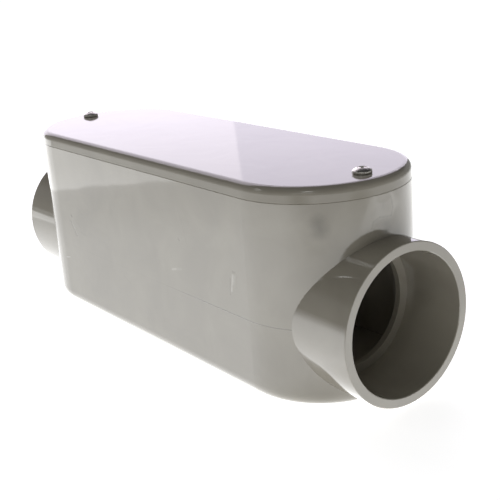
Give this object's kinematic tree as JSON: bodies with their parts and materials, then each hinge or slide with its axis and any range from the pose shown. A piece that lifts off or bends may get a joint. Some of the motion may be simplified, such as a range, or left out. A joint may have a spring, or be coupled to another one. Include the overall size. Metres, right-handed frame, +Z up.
{
  "type": "conduit body",
  "caption": "Straight-through PVC conduit body: round-ended box with a socket hub at each end, under a screwed-down cover that lifts off for wiring.",
  "frame": {"origin": "on the underside of the box, midway between the two hub mouths", "axes": "+X along the hubs towards the right-hand hub, +Z up through the cover, +Y across the box"},
  "size_m": [0.268, 0.0804, 0.0965],
  "materials": {
    "grey_pvc": "glossy moulded",
    "foam_rubber": "closed-cell, matt",
    "zinc_plated_steel": "bright zinc plated"
  },
  "bodies": {
    "box": {"housing": "grey_pvc"},
    "lid": {"cover": "grey_pvc", "gasket": "foam_rubber", "cover_screw_left": "zinc_plated_steel", "cover_screw_right": "zinc_plated_steel"}
  },
  "joints": [
    {"name": "cover_lift", "type": "slide", "parent": "box", "child": "lid", "axis": [0, 0, 1], "range_m": [0, 0.06]}
  ]
}
